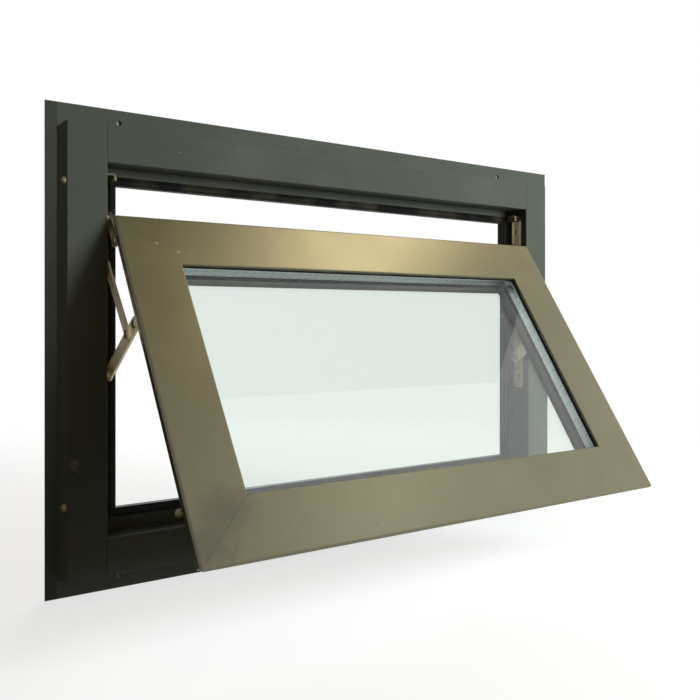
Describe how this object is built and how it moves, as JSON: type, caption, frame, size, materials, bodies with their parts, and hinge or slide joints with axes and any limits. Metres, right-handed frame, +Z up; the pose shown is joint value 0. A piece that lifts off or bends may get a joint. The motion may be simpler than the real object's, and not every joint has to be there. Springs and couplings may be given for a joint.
{
  "type": "top hung awning window",
  "caption": "Nail-fin aluminium awning window with a double-glazed top-hung sash held open on friction stays",
  "frame": {"origin": "On the back face of the sill fin, the face drawn against the wall, midway between the jambs.", "axes": "+X along the sill to the right seen from outside, +Y into the wall, +Z up."},
  "size_m": [0.761, 0.2728, 0.52],
  "materials": {
    "coated_aluminium": "satin powder coat, charcoal bronze",
    "epdm_rubber": "extruded black gasket",
    "clear_glass": "clear float glass, slightly green",
    "spacer_aluminium": "mill finish, perforated",
    "stay_steel": "stainless strip, rolled",
    "nylon": "moulded cream nylon",
    "coated_zinc": "powder-coated die casting"
  },
  "bodies": {
    "root": {"frame_head": "coated_aluminium", "frame_sill": "coated_aluminium", "frame_left_jamb": "coated_aluminium", "frame_right_jamb": "coated_aluminium", "head_fin": "coated_aluminium", "sill_fin": "coated_aluminium", "left_fin": "coated_aluminium", "right_fin": "coated_aluminium", "sash_top_rail": "coated_aluminium", "sash_bottom_rail": "coated_aluminium", "sash_left_stile": "coated_aluminium", "sash_right_stile": "coated_aluminium", "glazing_bead_top": "coated_aluminium", "glazing_bead_bottom": "coated_aluminium", "glazing_bead_left": "coated_aluminium", "glazing_bead_right": "coated_aluminium", "frame_gasket": "epdm_rubber", "outer_glazing_gasket": "epdm_rubber", "inner_glazing_gasket": "epdm_rubber", "outer_glass_pane": "clear_glass", "inner_glass_pane": "clear_glass", "glazing_spacer": "spacer_aluminium", "left_stay_track": "stay_steel", "left_stay_top_arm": "stay_steel", "left_stay_support_arm": "stay_steel", "left_stay_link_arm": "stay_steel", "left_stay_sash_bar": "stay_steel", "left_stay_rivets": "stay_steel", "right_stay_track": "stay_steel", "right_stay_top_arm": "stay_steel", "right_stay_support_arm": "stay_steel", "right_stay_link_arm": "stay_steel", "right_stay_sash_bar": "stay_steel", "right_stay_rivets": "stay_steel", "left_stay_end_cap": "nylon", "right_stay_end_cap": "nylon", "left_stay_slider": "nylon", "right_stay_slider": "nylon", "left_jamb_caps": "nylon", "right_jamb_caps": "nylon", "sill_bumpers": "nylon", "handle_base": "coated_zinc", "handle_lever": "coated_zinc", "handle_keeper": "coated_zinc"}
  },
  "joints": []
}
